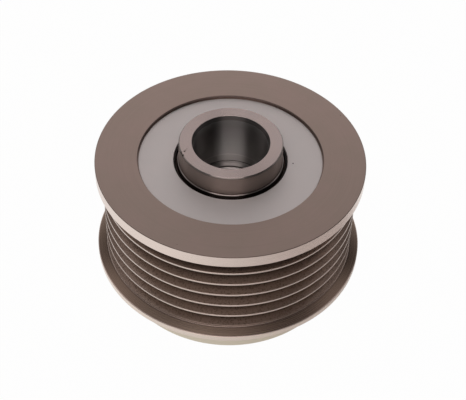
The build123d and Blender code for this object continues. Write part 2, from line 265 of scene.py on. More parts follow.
# Camera, from a pinhole fit to the circles in the photograph
PHOTO_WIDTH = 466
FOCAL_PIXELS = 1158.78
SENSOR_WIDTH = 36.0
CLIP_START = 0.01
CAMERA_BACK = 191.61 * MM
CAMERA_ABOVE_RIM = 181.36 * MM
CAMERA_PITCH = 0.7955
CAMERA_YAW = 0.0045
CAMERA_ROLL = -0.0323


# Outline helper

def rounded_outline(corners):
    """Closed outline through (radius, height, rounding) corners, with the roundings as arcs.

    A point stands close to each end of an arc, so that shading on the flat beside it stays flat.
    """
    outline = []
    count = len(corners)
    for number in range(count):
        before = Vector(corners[number - 1][:2])
        here = Vector(corners[number][:2])
        after = Vector(corners[(number + 1) % count][:2])
        radius = corners[number][2]
        if radius == 0:
            outline.append(here)
            continue
        back = (before - here).normalized()
        ahead = (after - here).normalized()
        half = acos(max(-1.0, min(1.0, back.dot(ahead)))) / 2
        setback = radius / tan(half)
        guard = min(radius / 2, GUARD_LENGTH)
        centre = here + (back + ahead).normalized() * radius / sin(half)
        first = here + back * setback
        last = here + ahead * setback
        start = atan2(first.y - centre.y, first.x - centre.x)
        sweep = atan2(last.y - centre.y, last.x - centre.x) - start
        sweep = (sweep + pi) % (2 * pi) - pi
        steps = max(2, ceil(abs(sweep) / ARC_STEP))
        if (before - first).length > GUARD_ROOM * guard:
            outline.append(first + back * guard)
        for step in range(steps + 1):
            angle = start + sweep * step / steps
            outline.append(centre + Vector((cos(angle), sin(angle))) * radius)
        if (after - last).length > GUARD_ROOM * guard:
            outline.append(last + ahead * guard)
    return outline


# Geometry Nodes helpers

def new_tree(name, inputs):
    """Empty Geometry Nodes tree with a geometry input and output and the named inputs."""
    tree = bpy.data.node_groups.new(name, "GeometryNodeTree")
    tree.interface.new_socket("Geometry", in_out="INPUT", socket_type="NodeSocketGeometry")
    for label, kind in inputs:
        tree.interface.new_socket(label, in_out="INPUT", socket_type="NodeSocket" + kind)
    tree.interface.new_socket("Geometry", in_out="OUTPUT", socket_type="NodeSocketGeometry")
    return tree


def add_node(tree, kind, links=None, **settings):
    """Adds a node, sets its settings and links or fills the inputs given by name or number."""
    node = tree.nodes.new(kind)
    for label, value in settings.items():
        setattr(node, label, value)
    for key, value in (links or {}).items():
        socket = node.inputs[key]
        if isinstance(value, bpy.types.NodeSocket):
            tree.links.new(value, socket)
        else:
            socket.default_value = value
    return node


def calculate(tree, operation, first, second=0.0, third=0.0):
    """One Math node in a Geometry Nodes or shader tree."""
    links = {0: first, 1: second, 2: third}
    return add_node(tree, "ShaderNodeMath", links, operation=operation).outputs[0]


def new_object(name, data):
    """Object with the data it shows, linked to the scene."""
    thing = bpy.data.objects.new(name, data)
    bpy.context.scene.collection.objects.link(thing)
    return thing


def apply_tree(base, tree, name, values):
    """Runs a tree on a base object and returns its result as a plain object."""
    modifier = base.modifiers.new(tree.name, "NODES")
    modifier.node_group = tree
    for item in tree.interface.items_tree:
        if item.in_out == "INPUT" and item.name in values:
            modifier[item.identifier] = values[item.name]
    graph = bpy.context.evaluated_depsgraph_get()
    graph.update()
    mesh = bpy.data.meshes.new_from_object(base.evaluated_get(graph))
    mesh.name = name
    piece = new_object(name, mesh)
    base.modifiers.clear()
    bpy.data.objects.remove(base)
    return piece


def finish_tree(tree, geometry, finish):
    """Ends a tree, which gives out the real geometry with its material."""
    real = add_node(tree, "GeometryNodeRealizeInstances", {"Geometry": geometry})
    dressed = add_node(tree, "GeometryNodeSetMaterial", {0: real.outputs[0], "Material": finish})
    add_node(tree, "NodeGroupOutput", {0: dressed.outputs[0]})


def turning_tree():
    """Tree that turns a half section about Z, with teeth and a thread on the points marked for them."""
    inputs = [("Steps Round", "Int"), ("Teeth", "Int"), ("Finish", "Material")]
    tree = new_tree("Turned form", inputs)
    given = add_node(tree, "NodeGroupInput").outputs
    section = given["Geometry"]
    measured = add_node(tree, "GeometryNodeAttributeDomainSize", {"Geometry": section})
    count = measured.outputs["Point Count"]
    columns = calculate(tree, "ADD", count, 1)
    rows = calculate(tree, "ADD", given["Steps Round"], 1)
    sides = {"Vertices X": columns, "Vertices Y": rows, "Size X": 1.0, "Size Y": 1.0}
    sheet = add_node(tree, "GeometryNodeMeshGrid", sides)
    position = add_node(tree, "GeometryNodeInputPosition").outputs[0]
    place = add_node(tree, "ShaderNodeSeparateXYZ", {0: position})
    along = calculate(tree, "ADD", place.outputs["X"], 0.5)
    along = calculate(tree, "ROUND", calculate(tree, "MULTIPLY", along, count))
    along = calculate(tree, "FLOORED_MODULO", along, count)
    turn = calculate(tree, "ADD", place.outputs["Y"], 0.5)
    turn = calculate(tree, "ROUND", calculate(tree, "MULTIPLY", turn, given["Steps Round"]))
    turn = calculate(tree, "DIVIDE", turn, given["Steps Round"])
    index = add_node(tree, "FunctionNodeFloatToInt", {0: along}).outputs[0]

    def sampled(kind, value):
        inputs = {"Geometry": section, "Index": index}
        node = add_node(tree, "GeometryNodeSampleIndex", inputs, data_type=kind)
        tree.links.new(value, node.inputs["Value"])
        return node.outputs["Value"]

    def named(label):
        node = add_node(tree, "GeometryNodeInputNamedAttribute", {"Name": label}, data_type="FLOAT")
        return sampled("FLOAT", node.outputs["Attribute"])

    spot = add_node(tree, "ShaderNodeSeparateXYZ", {0: sampled("FLOAT_VECTOR", position)})
    radius, height = spot.outputs["X"], spot.outputs["Z"]
    tooth = calculate(tree, "PINGPONG", calculate(tree, "MULTIPLY", turn, given["Teeth"]), 0.5)
    tooth = calculate(tree, "MULTIPLY", calculate(tree, "MULTIPLY", tooth, 2.0), ROOT_TO_TIP)
    radius = calculate(tree, "MULTIPLY_ADD", tooth, named("teeth"), radius)
    lead = calculate(tree, "SUBTRACT", calculate(tree, "DIVIDE", height, THREAD_PITCH), turn)
    flank = calculate(tree, "MULTIPLY", calculate(tree, "PINGPONG", lead, 0.5), THREAD_FLANK_SLOPE)
    flank = calculate(tree, "SUBTRACT", flank, THREAD_FLAT)
    flank = add_node(tree, "ShaderNodeClamp", {0: flank}).outputs[0]
    groove = calculate(tree, "MULTIPLY", flank, THREAD_DEPTH)
    radius = calculate(tree, "MULTIPLY_ADD", groove, named("thread"), radius)
    angle = calculate(tree, "MULTIPLY", turn, 2 * pi)
    across = calculate(tree, "MULTIPLY", radius, calculate(tree, "COSINE", angle))
    deep = calculate(tree, "MULTIPLY", radius, calculate(tree, "SINE", angle))
    target = add_node(tree, "ShaderNodeCombineXYZ", {0: across, 1: deep, 2: height}).outputs[0]
    sheet = sheet.outputs["Mesh"]
    moved = add_node(tree, "GeometryNodeSetPosition", {"Geometry": sheet, "Position": target})
    joining = {"Geometry": moved.outputs[0], "Distance": MERGE_DISTANCE}
    closed = add_node(tree, "GeometryNodeMergeByDistance", joining)
    finish_tree(tree, closed.outputs[0], given["Finish"])
    return tree


def ring_tree():
    """Tree that moves a piece out from Z and sets copies of it evenly round Z."""
    inputs = [
        ("Count", "Int"),
        ("Circle Radius", "Float"),
        ("Height", "Float"),
        ("Start Angle", "Float"),
        ("Finish", "Material"),
    ]
    tree = new_tree("Pieces in a ring", inputs)
    given = add_node(tree, "NodeGroupInput").outputs
    place = add_node(tree, "ShaderNodeCombineXYZ", {0: given["Circle Radius"], 2: given["Height"]})
    place = place.outputs[0]
    moved_out = {"Geometry": given["Geometry"], "Translation": place}
    first = add_node(tree, "GeometryNodeTransform", moved_out)
    at_centre = {"Count": given["Count"], "Offset": (0.0, 0.0, 0.0)}
    line = add_node(tree, "GeometryNodeMeshLine", at_centre)
    number = add_node(tree, "GeometryNodeInputIndex").outputs[0]
    share = calculate(tree, "DIVIDE", number, given["Count"])
    turn = calculate(tree, "MULTIPLY_ADD", share, 2 * pi, given["Start Angle"])
    rotation = add_node(tree, "ShaderNodeCombineXYZ", {2: turn}).outputs[0]
    placed = {"Points": line.outputs[0], "Instance": first.outputs[0], "Rotation": rotation}
    copies = add_node(tree, "GeometryNodeInstanceOnPoints", placed)
    finish_tree(tree, copies.outputs[0], given["Finish"])
    return tree


def shade_smooth(piece):
    """Smooth shading, with sharp edges where faces meet steeply."""
    mesh = piece.data
    mesh.polygons.foreach_set("use_smooth", [True] * len(mesh.polygons))
    mesh.set_sharp_from_angle(angle=SHARP_ANGLE)


def signed_volume(mesh):
    """Volume inside a closed mesh, negative where its faces point inwards."""
    mesh.calc_loop_triangles()
    total = 0.0
    for triangle in mesh.loop_triangles:
        a, b, c = (mesh.vertices[index].co for index in triangle.vertices)
        total += a.dot(b.cross(c)) / 6
    return total


def turned_form(name, outline, finish, steps, teeth=0, share=None):
    """Object turned from an outline, with teeth and a thread where share marks them."""
    mesh = bpy.data.meshes.new(name + "_section")
    points = [(point.x, 0.0, point.y) for point in outline]
    edges = [(number, (number + 1) % len(points)) for number in range(len(points))]
    mesh.from_pydata(points, edges, [])
    for label in ("teeth", "thread"):
        values = [share(point, label) if share else 0.0 for point in outline]
        mesh.attributes.new(label, "FLOAT", "POINT").data.foreach_set("value", values)
    base = new_object(name + "_section", mesh)
    values = {"Steps Round": steps, "Teeth": teeth, "Finish": finish}
    form = apply_tree(base, TURNING, name, values)
    if signed_volume(form.data) < 0:
        form.data.flip_normals()
    return form


def turned(name, node, outline, steps=STEPS_ROUND, teeth=0, share=None):
    """Turned piece that stands for a CAD node."""
    finish = FINISH[SLOT_OF[node]]
    dress(turned_form(name, outline, finish, steps, teeth, share), node, finish)


def ringed(name, node, first, count, circle_radius, height, start_angle=0.0):
    """Copies of a form in a ring, as one piece that stands for a CAD node."""
    finish = FINISH[SLOT_OF[node]]
    values = {
        "Count": count,
        "Circle Radius": circle_radius,
        "Height": height,
        "Start Angle": start_angle,
        "Finish": finish,
    }
    dress(apply_tree(first, RING, name, values), node, finish)


def dress(piece, node, finish):
    """Gives a piece its finish in a material slot, its shading and its body, and hides the CAD node it
    stands for.
    """
    piece.data.materials.clear()
    piece.data.materials.append(finish)
    shade_smooth(piece)
    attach(piece, BODY_OF[node])
    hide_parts(node)


BODY_OF = {
    node: body
    for body, nodes in frame["record"]["behaviour"]["bodies"].items()
    for node in nodes
}
SLOT_OF = {part["node"]: part["material_slot"] for part in frame["record"]["subparts"]}
TURNING = turning_tree()
RING = ring_tree()


# Small marks that the real one has, each a point and a radius
RIM_MARKS = [
    ((25.72 * MM, 15.23 * MM, RIM_HEIGHT), 0.1 * MM),
    ((-10.76 * MM, -27.49 * MM, RIM_HEIGHT), 0.08 * MM),
]
HUB_MARKS = [
    ((-10.30 * MM, -3.55 * MM, COLLAR_TOP), 0.22 * MM),
    ((-10.05 * MM, -3.15 * MM, COLLAR_TOP), 0.14 * MM),
    ((-9.80 * MM, -2.75 * MM, COLLAR_TOP), 0.11 * MM),
    ((-11.08 * MM, -3.80 * MM, NICK_HEIGHT), 0.27 * MM),
    ((-10.87 * MM, -4.25 * MM, NICK_HEIGHT), 0.17 * MM),
    ((-10.61 * MM, -4.80 * MM, NICK_HEIGHT), 0.30 * MM),
]
SHIELD_MARKS = [((14.23 * MM, -0.94 * MM, SHIELD_FACE), 0.17 * MM)]


# Finishes

def new_finish(name):
    """New material with its tree, its shader and its object coordinates."""
    finish = bpy.data.materials.new(name)
    finish.use_nodes = True
    tree = finish.node_tree
    shader = tree.nodes["Principled BSDF"]
    place = add_node(tree, "ShaderNodeTexCoord").outputs["Object"]
    return finish, tree, shader, place


def noise(tree, place, scale, detail=2.0, roughness=0.5):
    """Noise value over a position."""
    links = {"Vector": place, "Scale": scale, "Detail": detail, "Roughness": roughness}
    return add_node(tree, "ShaderNodeTexNoise", links).outputs["Fac"]


def blend_colours(tree, share, first, second):
    """Mix of two colours, all of the second where the share is one."""
    # Sockets 0, 6 and 7 are the share and the two colours
    mixer = add_node(tree, "ShaderNodeMix", data_type="RGBA")
    for key, value in ((0, share), (6, first), (7, second)):
        if isinstance(value, bpy.types.NodeSocket):
            tree.links.new(value, mixer.inputs[key])
        else:
            mixer.inputs[key].default_value = value if key == 0 else (*value, 1.0)
    return mixer.outputs[2]


def remap(tree, value, low, high, new_low, new_high):
    """Value moved from one range to another and held inside it."""
    links = {0: value, 1: low, 2: high, 3: new_low, 4: new_high}
    return add_node(tree, "ShaderNodeMapRange", links).outputs[0]


def above(tree, value, limit, soft=BLUR):
    """One where the value is above a limit, nought below it, and a short run between."""
    return remap(tree, value, limit - soft, limit + soft, 0.0, 1.0)


def below(tree, value, limit, soft=BLUR):
    """One where the value is below a limit, nought above it, and a short run between."""
    return remap(tree, value, limit - soft, limit + soft, 1.0, 0.0)


def between(tree, value, low, high, soft=BLUR):
    """One where the value lies between two limits."""
    return both(tree, above(tree, value, low, soft), below(tree, value, high, soft))


def both(tree, first, second):
    """One where both masks are one."""
    return calculate(tree, "MULTIPLY", first, second)


def round_place(tree, place):
    """Distance from the axis, height and angle round the axis of a place."""
    parts = add_node(tree, "ShaderNodeSeparateXYZ", {0: place}).outputs
    flat = add_node(tree, "ShaderNodeCombineXYZ", {0: parts["X"], 1: parts["Y"]}).outputs[0]
    radius = add_node(tree, "ShaderNodeVectorMath", {0: flat}, operation="LENGTH").outputs["Value"]
    angle = calculate(tree, "ARCTAN2", parts["Y"], parts["X"])
    return radius, parts["Z"], angle


def marks(tree, place, spots):
    """Mask of small round marks, each a point and a radius, with ragged edges."""
    ragged = noise(tree, place, scale=9000.0, roughness=0.6)
    total = 0.0
    for point, radius in spots:
        gap = add_node(tree, "ShaderNodeVectorMath", {0: place, 1: point}, operation="DISTANCE")
        reach = calculate(tree, "MULTIPLY_ADD", ragged, radius, gap.outputs["Value"])
        spot = remap(tree, reach, radius * 1.2, radius * 1.7, 1.0, 0.0)
        total = calculate(tree, "MAXIMUM", spot, total)
    return total


def cloudy(tree, place, colour, shade, scale):
    """Colour that drifts between two tones."""
    clouds = noise(tree, place, scale, detail=3.0, roughness=0.55)
    return blend_colours(tree, remap(tree, clouds, 0.35, 0.65, 0.0, 1.0), colour, shade)


def turning_lines(tree, radius, height, angle, pitch):
    """Noise that changes across the tool's path and hardly along it, as turning leaves it."""
    across = calculate(tree, "DIVIDE", radius, pitch)
    along_axis = calculate(tree, "DIVIDE", height, pitch)
    vector = add_node(tree, "ShaderNodeCombineXYZ", {0: across, 1: along_axis, 2: angle}).outputs[0]
    return noise(tree, vector, scale=1.0, roughness=0.6)


def link_looks(tree, shader, colour, roughness, relief, depth):
    """Gives a shader its colour, its roughness and a very fine relief."""
    tree.links.new(colour, shader.inputs["Base Color"])
    tree.links.new(roughness, shader.inputs["Roughness"])
    bump = add_node(tree, "ShaderNodeBump", {"Height": relief, "Strength": 1.0, "Distance": depth})
    tree.links.new(bump.outputs[0], shader.inputs["Normal"])


def machined(tree, shader, place, base, lines, roughness, depth):
    """Bare metal with fine tool lines in its colour, gloss and relief."""
    grain = noise(tree, place, scale=9000.0, detail=1.0)
    line_share = remap(tree, lines, 0.3, 0.7, 0.08, 0.0)
    lined = blend_colours(tree, line_share, base, (0.0, 0.0, 0.0))
    rough = calculate(tree, "ADD", roughness, remap(tree, lines, 0.3, 0.7, -0.03, 0.03))
    relief = calculate(tree, "MULTIPLY_ADD", grain, 0.3, lines)
    shader.inputs["Metallic"].default_value = 1.0
    link_looks(tree, shader, lined, rough, relief, depth)


def rim_steel():
    """Turned and plated rim: warm grey faces, painted reflection on the lands, painted shade in the
    grooves.
    """
    finish, tree, shader, place = new_finish("rim_plated_steel")
    radius, height, angle = round_place(tree, place)
    base = cloudy(tree, place, RIM_FACE, RIM_FACE_SHADE, scale=150.0)
    land_radius = CREST_RADIUS - 0.06 * MM
    in_track = both(
        tree,
        between(tree, height, BELT_TRACK_FOOT, BELT_TRACK_TOP + 0.05 * MM),
        below(tree, radius, land_radius, NARROW_BLUR),
    )
    on_lands = both(
        tree,
        between(tree, height, SPIGOT_HEIGHT + 0.1 * MM, RIM_HEIGHT - 0.1 * MM),
        above(tree, radius, land_radius, NARROW_BLUR),
    )
    bevel_top = FRONT_BEVEL_TOP - NARROW_BLUR
    on_bevel = between(tree, height, FRONT_FLANGE_TOP + 0.1 * MM, bevel_top, NARROW_BLUR)
    in_mouth = below(tree, radius, MOUTH_RADIUS + 0.03 * MM, 0.01 * MM)
    in_recess = both(tree, in_mouth, above(tree, height, SHIELD_FACE))
    on_top_edge = both(
        tree,
        above(tree, radius, REAR_FLANGE_RADIUS - 0.11 * MM, NARROW_BLUR),
        above(tree, height, RIM_HEIGHT - 0.13 * MM, NARROW_BLUR),
    )
    base = blend_colours(tree, in_track, base, groove_colour(tree, place, radius, height))
    base = blend_colours(tree, on_lands, base, land_colour(tree, height))
    base = blend_colours(tree, on_bevel, base, bevel_colour(tree, radius, height))
    # Painted shade darkens the spigot up under the front flange; its pale foot is a painted reflection
    spigot_share = remap(tree, height, SPIGOT_HEIGHT - 2 * MM, SPIGOT_HEIGHT, 0.0, 1.0)
    spigot = blend_colours(tree, spigot_share, SPIGOT_LOW_PAINTED_REFLECTION, SPIGOT_HIGH_PAINTED_SHADE)
    base = blend_colours(tree, below(tree, height, SPIGOT_HEIGHT), base, spigot)
    # Painted shade on the wall of the mouth above the shield
    base = blend_colours(tree, in_recess, base, MOUTH_WALL_PAINTED_SHADE)
    # Painted shade on the rounded top edge of the rear flange
    base = blend_colours(tree, on_top_edge, base, RIM_TOP_EDGE_PAINTED_SHADE)
    base = blend_colours(tree, marks(tree, place, RIM_MARKS), base, RIM_PITS)
    lines = turning_lines(tree, radius, height, angle, RIM_LINE_PITCH)
    roughness = remap(tree, on_lands, 0.0, 1.0, 0.36, 0.28)
    machined(tree, shader, place, base, lines, roughness, RIM_LINE_DEPTH)
    return finish


def groove_colour(tree, place, radius, height):
    """Colour of the V grooves: painted shade at the roots and under the rear flange, with dark specks.
    """
    # Painted shade: the flanks darken towards the roots and under the rear flange
    outer = remap(tree, radius, GROOVE_BOTTOM, CREST_RADIUS - 1.0 * MM, 0.0, 1.0)
    two_grooves_down = BELT_TRACK_TOP - 2 * GROOVE_PITCH
    clear_of_painted_shadow = remap(tree, height, two_grooves_down, BELT_TRACK_TOP, 1.0, 0.1)
    flank = blend_colours(tree, both(tree, outer, clear_of_painted_shadow), GROOVE_ROOT_PAINTED_SHADE, GROOVE_FLANK)
    specks = noise(tree, place, scale=2600.0, roughness=0.6)
    return blend_colours(tree, remap(tree, specks, 0.52, 0.64, 0.0, 0.45), flank, GROOVE_SPECKS)


def land_colour(tree, height):
    """Lands of both flanges and crests between the grooves: painted reflection, painted shade on the
    first crest.
    """
    on_crests = between(tree, height, FRONT_BEVEL_TOP, BELT_TRACK_TOP - CREST_LAND)
    land = blend_colours(tree, on_crests, REAR_LAND_PAINTED_REFLECTION, CRESTS_PAINTED_REFLECTION)
    on_first = between(tree, height, FRONT_BEVEL_TOP, BELT_TRACK_FOOT + CREST_LAND, NARROW_BLUR)
    land = blend_colours(tree, on_first, land, FIRST_CREST_PAINTED_SHADE)
    return blend_colours(tree, below(tree, height, FRONT_FLANGE_TOP), land, FRONT_LAND_PAINTED_REFLECTION)


def bevel_colour(tree, radius, height):
    """Colour of the bevel over the front flange, painted shade: darker near the grooves and darkest at
    its root.
    """
    outer_share = remap(tree, radius, CREST_RADIUS + 0.4 * MM, FRONT_FLANGE_RADIUS, 0.0, 1.0)
    bevel = blend_colours(tree, outer_share, BEVEL_INNER_PAINTED_SHADE, BEVEL_OUTER)
    at_root = between(tree, height, FRONT_BEVEL_TOP - 0.15 * MM, FRONT_BEVEL_TOP, 0.03 * MM)
    return blend_colours(tree, at_root, bevel, BEVEL_ROOT_PAINTED_SHADE)


def bore_colour(tree, height):
    """Colour down the inside of the hub, painted light and shade: a dark lead, a wall that gets paler,
    and the thread.
    """
    corner_foot = PILOT_BORE_FLOOR + 0.05 * MM
    corner_top = PILOT_BORE_FLOOR + 0.25 * MM
    entry_foot = THREAD_TOP - 0.25 * MM
    entry_top = THREAD_TOP + 0.2 * MM
    # Painted shade on the lead, at the floor's corner and at the thread's entry; a paler ring round the
    # wall; painted light on the wall's foot, the floor and the thread
    rings = [
        (COLLAR_TOP - BORE_LEAD_HEIGHT, COLLAR_TOP, BORE_LEAD_PAINTED_SHADE),
        (PALE_BORE_RING_FOOT, PALE_BORE_RING_TOP, PALE_BORE_RING_TONE),
        (corner_top, PALE_BORE_RING_FOOT, BORE_FOOT_PAINTED_LIGHT),
        (corner_foot, corner_top, FLOOR_CORNER_PAINTED_SHADE),
        (entry_top, corner_foot, BORE_FLOOR_PAINTED_LIGHT),
        (entry_foot, entry_top, THREAD_ENTRY_PAINTED_SHADE),
        (SOCKET_FLOOR, entry_foot, THREAD_PAINTED_HIGHLIGHT),
    ]
    low_share = remap(tree, height, COLLAR_TOP - 12 * MM, COLLAR_TOP - 3 * MM, 1.0, 0.0)
    inside = blend_colours(tree, low_share, BORE_HIGH, BORE_LOW_PAINTED_LIGHT)
    for foot, top, colour in rings:
        inside = blend_colours(tree, between(tree, height, foot, top), inside, colour)
    return inside


def collar_colour(tree, height, base):
    """Colour of the collar's side and of the shoulder below it, with painted shade and a painted
    highlight.
    """
    collar_edge = COLLAR_TOP - COLLAR_EDGE
    shoulder_top = SHOULDER_HEIGHT - 0.01 * MM
    shoulder_edge = SHOULDER_HEIGHT - SHOULDER_CHAMFER
    # Painted shade on the collar's chamfer and in a line below it, painted shadow at the collar's foot,
    # a painted highlight on the shoulder's chamfer, painted shade down the shoulder's side
    bands = [
        (collar_edge, COLLAR_TOP, COLLAR_CHAMFER_PAINTED_SHADE),
        (collar_edge - 0.2 * MM, collar_edge, COLLAR_LINE_PAINTED_SHADE),
        (shoulder_top, SHOULDER_HEIGHT + COLLAR_ROOT + 0.15 * MM, COLLAR_FOOT_PAINTED_SHADOW),
        (shoulder_edge, shoulder_top, SHOULDER_CHAMFER_PAINTED_HIGHLIGHT),
        (LEAD_FOOT - SHOULDER_CHAMFER, shoulder_edge, SHOULDER_SIDE_PAINTED_SHADE),
    ]
    outside = base
    for foot, top, colour in bands:
        outside = blend_colours(tree, between(tree, height, foot, top, NARROW_BLUR), outside, colour)
    return outside


def hub_steel():
    """Turned hub with a ground end face and a finely bored inside; the sides carry painted shade."""
    finish, tree, shader, place = new_finish("hub_turned_steel")
    radius, height, angle = round_place(tree, place)
    # Painted shade: the sides are far darker than the ground end face
    side = cloudy(tree, place, HUB_SIDE, HUB_SIDE_SHADE, scale=220.0)
    ground = cloudy(tree, place, HUB_END, HUB_END_SHADE, scale=220.0)
    bored = below(tree, radius, PILOT_BORE_RADIUS + BORE_LEAD_STEP - 0.02 * MM, NARROW_BLUR)
    on_end = above(tree, height, COLLAR_TOP - 0.08 * MM, 0.04 * MM)
    on_collar = above(tree, radius, COLLAR_RADIUS - COLLAR_EDGE + 0.02 * MM, NARROW_BLUR)
    base = blend_colours(tree, on_end, side, ground)
    base = blend_colours(tree, on_collar, base, collar_colour(tree, height, side))
    base = blend_colours(tree, bored, base, bore_colour(tree, height))
    base = blend_colours(tree, marks(tree, place, HUB_MARKS), base, HUB_NICKS)
    lines = turning_lines(tree, radius, height, angle, HUB_LINE_PITCH)
    roughness = remap(tree, bored, 0.0, 1.0, remap(tree, on_end, 0.0, 1.0, 0.34, 0.22), 0.42)
    machined(tree, shader, place, base, lines, roughness, HUB_LINE_DEPTH)
    round_axis = add_node(tree, "ShaderNodeTangent", direction_type="RADIAL", axis="Z").outputs[0]
    tree.links.new(round_axis, shader.inputs["Tangent"])
    shader.inputs["Anisotropic"].default_value = 1.0
    shader.inputs["Anisotropic Rotation"].default_value = 0.25
    return finish


def ground_steel(name, colour, shade, roughness):
    """Hardened steel, ground with a fine lay round the axis."""
    finish, tree, shader, place = new_finish(name)
    radius, height, angle = round_place(tree, place)
    lines = turning_lines(tree, radius, height, angle, RACE_LINE_PITCH)
    base = cloudy(tree, place, colour, shade, scale=260.0)
    machined(tree, shader, place, base, lines, roughness, RACE_LINE_DEPTH)
    return finish


def sheet_steel(name, colour, shade, roughness, metal=1.0, spots=()):
    """Pressed or polished steel: an even surface with a fine grain and faint clouds."""
    finish, tree, shader, place = new_finish(name)
    grain = noise(tree, place, scale=7000.0, roughness=0.6)
    base = cloudy(tree, place, colour, shade, scale=160.0)
    if spots:
        base = blend_colours(tree, marks(tree, place, spots), base, (0.03, 0.02, 0.02))
    rough = remap(tree, grain, 0.3, 0.7, roughness - 0.03, roughness + 0.03)
    shader.inputs["Metallic"].default_value = metal
    link_looks(tree, shader, base, rough, grain, SHEET_GRAIN_DEPTH)
    return finish


def rubber(name, colour):
    """Moulded rubber: dull black with a fine grain and paler dust."""
    finish, tree, shader, place = new_finish(name)
    grain = noise(tree, place, scale=5000.0, roughness=0.6)
    dust = noise(tree, place, scale=500.0, detail=3.0, roughness=0.6)
    paler = tuple(2.2 * value for value in colour)
    base = blend_colours(tree, remap(tree, dust, 0.5, 0.75, 0.0, 0.7), colour, paler)
    rough = remap(tree, grain, 0.3, 0.7, 0.6, 0.78)
    shader.inputs["Specular IOR Level"].default_value = 0.35
    link_looks(tree, shader, base, rough, grain, RUBBER_GRAIN_DEPTH)
    return finish


def nylon(name, colour):
    """Natural glass-filled nylon: matt, with short pale fibres."""
    finish, tree, shader, place = new_finish(name)
    fibres = noise(tree, place, scale=2600.0, detail=4.0, roughness=0.7)
    tone = noise(tree, place, scale=300.0)
    darker = tuple(0.85 * value for value in colour)
    base = blend_colours(tree, remap(tree, tone, 0.35, 0.65, 0.0, 1.0), colour, darker)
    base = blend_colours(tree, remap(tree, fibres, 0.6, 0.7, 0.0, 0.4), base, (0.9, 0.87, 0.8))
    rough = remap(tree, fibres, 0.3, 0.7, 0.45, 0.6)
    link_looks(tree, shader, base, rough, fibres, FIBRE_DEPTH)
    return finish


FINISH = {
    "rim_steel": rim_steel(),
    "hub_steel": hub_steel(),
    "shield_steel": sheet_steel(
        "shield_satin_steel",
        (0.80, 0.787, 0.782),
        (0.78, 0.775, 0.77),
        roughness=0.6,
        metal=0.75,
        spots=SHIELD_MARKS,
    ),
    "race_steel": ground_steel("race_ground_steel", (0.62, 0.61, 0.60), (0.58, 0.575, 0.57), 0.22),
    "ball_steel": sheet_steel("ball_polished_steel", (0.75, 0.75, 0.76), (0.72, 0.72, 0.73), 0.1),
    "spring_steel": sheet_steel("spring_strip_steel", (0.55, 0.54, 0.52), (0.5, 0.49, 0.47), 0.3),
    "cage_plastic": nylon("cage_natural_nylon", (0.72, 0.66, 0.50)),
    "seal_rubber": rubber("seal_black_rubber", (0.022, 0.021, 0.021)),
}


# Outlines of the turned pieces

def rim_outline():
    """Half section of the rim: spigot, front flange, six V grooves, rear flange and stepped bore."""
    half_mouth = (GROOVE_PITCH - CREST_LAND) / 2
    apex_radius = CREST_RADIUS - half_mouth / tan(GROOVE_HALF_ANGLE)
    corners = [
        (RIM_BORE_RADIUS + SPIGOT_EDGE, 0, TOOL_EDGE),
        (SPIGOT_RADIUS - SPIGOT_EDGE, 0, TOOL_EDGE),
        (SPIGOT_RADIUS, SPIGOT_EDGE, TOOL_EDGE),
        (SPIGOT_RADIUS, SPIGOT_HEIGHT, FLANGE_EDGE),
        (FRONT_FLANGE_RADIUS, SPIGOT_HEIGHT, FLANGE_EDGE),
        (FRONT_FLANGE_RADIUS, FRONT_FLANGE_TOP, CREST_EDGE),
        (CREST_RADIUS, FRONT_BEVEL_TOP, CREST_EDGE),
    ]
    for number in range(GROOVE_COUNT):
        middle = BELT_TRACK_FOOT + (number + 0.5) * GROOVE_PITCH
        corners += [
            (CREST_RADIUS, middle - half_mouth, CREST_EDGE),
            (apex_radius, middle, GROOVE_ROOT_RADIUS),
            (CREST_RADIUS, middle + half_mouth, CREST_EDGE),
        ]
    corners += [
        (CREST_RADIUS, BELT_TRACK_TOP, TOOL_EDGE / 2),
        (REAR_FLANGE_RADIUS, RIM_HEIGHT - REAR_FLANGE_THICKNESS, CREST_EDGE),
        (REAR_FLANGE_RADIUS, RIM_HEIGHT, FLANGE_EDGE),
        (MOUTH_RADIUS, RIM_HEIGHT, TOOL_EDGE),
        (MOUTH_RADIUS, SHIELD_FACE, 0),
        (RIM_BORE_RADIUS, SHIELD_FACE, 0),
        (RIM_BORE_RADIUS, FRONT_LIP_TOP, 0),
        (FRONT_LIP_RADIUS, FRONT_LIP_TOP, 0),
        (FRONT_LIP_RADIUS, FRONT_LIP_FOOT, TOOL_EDGE),
        (RIM_BORE_RADIUS, FRONT_LIP_FOOT, TOOL_EDGE),
        (RIM_BORE_RADIUS, CAP_GROOVE_TOP, TOOL_EDGE),
        (RIM_BORE_RADIUS + CAP_GROOVE_DEPTH, CAP_GROOVE_TOP, TOOL_EDGE),
        (RIM_BORE_RADIUS + CAP_GROOVE_DEPTH, CAP_GROOVE_FOOT, TOOL_EDGE),
        (RIM_BORE_RADIUS, CAP_GROOVE_FOOT, TOOL_EDGE),
        (RIM_BORE_RADIUS, SPIGOT_EDGE, TOOL_EDGE),
    ]
    return rounded_outline(corners)


